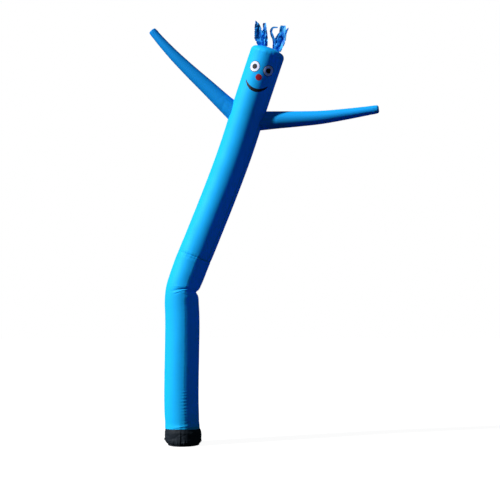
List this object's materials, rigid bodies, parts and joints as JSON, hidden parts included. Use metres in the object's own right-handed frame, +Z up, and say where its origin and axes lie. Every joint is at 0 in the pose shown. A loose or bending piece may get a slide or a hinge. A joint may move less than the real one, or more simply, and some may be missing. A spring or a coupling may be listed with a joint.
{
  "type": "inflatable air dancer",
  "caption": "Inflatable air dancer: a tall leaning tube of thin nylon with tapering arms, ribbon hair and a black cuff that fits over a floor blower's outlet.",
  "frame": {"origin": "centre of the cuff's mouth, level with the ground", "axes": "+Z up the lower tube, -Y towards the figure's front, +X the way its upper body leans"},
  "size_m": [3.0431, 0.8376, 5.6034],
  "materials": {
    "blue_nylon": "satin",
    "black_nylon": "matt"
  },
  "bodies": {
    "root": {"base_cuff": "black_nylon", "body_lower": "blue_nylon", "body_upper": "blue_nylon", "arm_left": "blue_nylon", "arm_right": "blue_nylon", "hair_left": "blue_nylon", "hair_right": "blue_nylon"}
  },
  "joints": []
}
